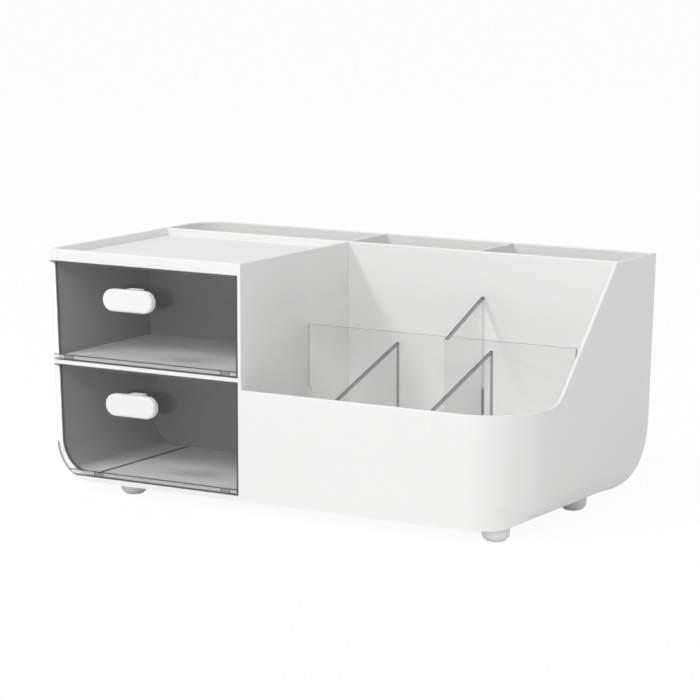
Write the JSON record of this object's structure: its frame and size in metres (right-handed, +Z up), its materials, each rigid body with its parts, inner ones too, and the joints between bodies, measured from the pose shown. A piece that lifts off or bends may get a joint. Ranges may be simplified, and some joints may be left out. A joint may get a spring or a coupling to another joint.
{
  "type": "desktop storage box",
  "caption": "White moulded desktop organiser with a tower of two clear-fronted drawers, an open divided bin with a swept side wall, tall rear pockets and a shallow top tray.",
  "frame": {"origin": "on the table, under the middle of the space that the box takes up with its handles", "axes": "+X toward the bin, along the longest side; the drawers open toward -Y; +Z up"},
  "size_m": [0.344, 0.1944, 0.158],
  "materials": {
    "white_plastic": "fine matte moulding",
    "smoke_plastic": "smoky grey with a satin face",
    "clear_plastic": "clear and polished, with cut edges",
    "soft_rubber": "soft, pale and matte"
  },
  "bodies": {
    "body": {"main_body": "white_plastic", "drawer_shelf": "white_plastic", "foot_front_left": "soft_rubber", "foot_front_right": "soft_rubber", "foot_rear_left": "soft_rubber", "foot_rear_right": "soft_rubber"},
    "lower_drawer": {"lower_drawer": "smoke_plastic", "lower_front": "clear_plastic", "lower_handle": "white_plastic"},
    "upper_drawer": {"upper_drawer": "smoke_plastic", "upper_front": "clear_plastic", "upper_handle": "white_plastic"},
    "long_divider": {"long_divider": "clear_plastic"},
    "front_left_divider": {"front_left_divider": "clear_plastic"},
    "front_right_divider": {"front_right_divider": "clear_plastic"},
    "rear_divider": {"rear_divider": "clear_plastic"}
  },
  "joints": [
    {"name": "lower_drawer_slide", "type": "slide", "parent": "body", "child": "lower_drawer", "axis": [0, -1, 0], "range_m": [0, 0.075]},
    {"name": "upper_drawer_slide", "type": "slide", "parent": "body", "child": "upper_drawer", "axis": [0, -1, 0], "range_m": [0, 0.075]},
    {"name": "long_divider_lift", "type": "slide", "parent": "body", "child": "long_divider", "axis": [0, 0, 1], "range_m": [0, 0.1]},
    {"name": "front_left_divider_lift", "type": "slide", "parent": "body", "child": "front_left_divider", "axis": [0, 0, 1], "range_m": [0, 0.1]},
    {"name": "front_right_divider_lift", "type": "slide", "parent": "body", "child": "front_right_divider", "axis": [0, 0, 1], "range_m": [0, 0.1]},
    {"name": "rear_divider_lift", "type": "slide", "parent": "body", "child": "rear_divider", "axis": [0, 0, 1], "range_m": [0, 0.1]}
  ]
}
